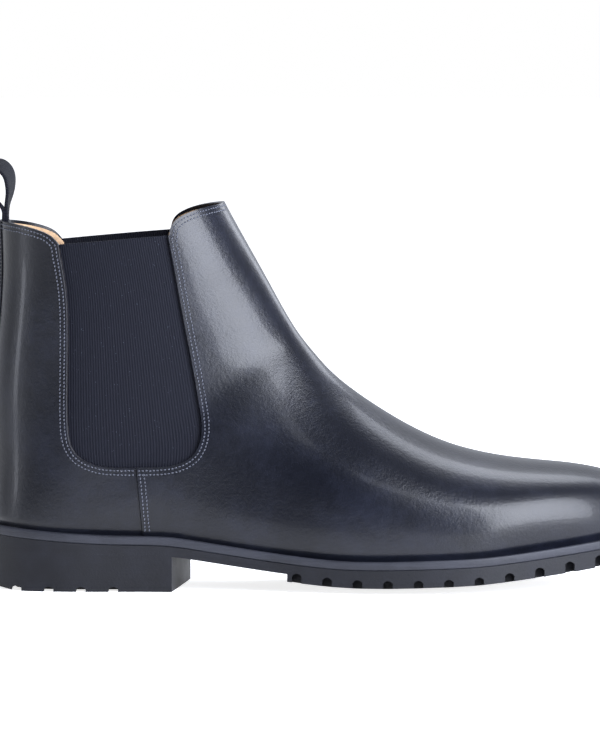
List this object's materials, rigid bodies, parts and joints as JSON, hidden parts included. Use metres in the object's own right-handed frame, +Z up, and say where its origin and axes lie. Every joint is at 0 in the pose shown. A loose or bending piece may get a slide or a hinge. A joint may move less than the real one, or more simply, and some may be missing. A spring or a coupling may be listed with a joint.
{
  "type": "chelsea boot",
  "caption": "Ankle-high pull-on leather boot, right foot, with elastic side gores, a rear webbing pull loop and a lugged rubber sole with a separate heel.",
  "frame": {"origin": "bottom centre of the bounding box, on the floor", "axes": "+X forward to the toe, +Y to the inner (medial) side of the foot, +Z up"},
  "size_m": [0.3022, 0.1048, 0.1903],
  "materials": {
    "black_leather": "smooth polished black leather",
    "lining_leather": "natural tan lining leather, unfinished",
    "insole_board": "leatherboard",
    "elastic": "ribbed black elastic webbing",
    "webbing": "black twill webbing",
    "interlining": "bonded cotton interlining",
    "stiffener": "moulded thermoplastic stiffener",
    "cork": "granulated cork sheet",
    "steel": "spring steel",
    "sole_rubber": "matt black moulded rubber",
    "welt_rubber": "satin dark grey rubber"
  },
  "bodies": {
    "boot": {"vamp": "black_leather", "lateral_quarter": "black_leather", "medial_quarter": "black_leather", "backstay": "black_leather", "lateral_gore": "elastic", "medial_gore": "elastic", "pull_loop_tail": "webbing", "toe_puff": "stiffener", "heel_counter": "stiffener", "vamp_backing": "interlining", "lateral_quarter_backing": "interlining", "medial_quarter_backing": "interlining", "vamp_lining": "lining_leather", "lateral_quarter_lining": "lining_leather", "medial_quarter_lining": "lining_leather", "heel_grip": "lining_leather", "sock": "lining_leather", "insole": "insole_board", "shank": "steel", "cork_filler": "cork", "welt": "welt_rubber", "outsole": "sole_rubber", "heel_base": "sole_rubber", "heel_top_piece": "sole_rubber", "heel_nails": "steel"},
    "shaft_front": {"front_shaft": "black_leather", "front_shaft_backing": "interlining", "front_shaft_lining": "lining_leather"},
    "pull_loop": {"pull_loop": "webbing"}
  },
  "joints": [
    {"name": "shaft_opening", "type": "hinge", "parent": "boot", "child": "shaft_front", "pos_m": [-0.00864, 0, 0.10885], "axis": [0, 1, 0], "range_deg": [0, 12], "stiffness_Nm_per_rad": 6},
    {"name": "pull_loop_bend", "type": "hinge", "parent": "boot", "child": "pull_loop", "pos_m": [-0.14194, 0, 0.1673], "axis": [0, 1, 0], "range_deg": [-45, 50], "stiffness_Nm_per_rad": 0.02}
  ]
}
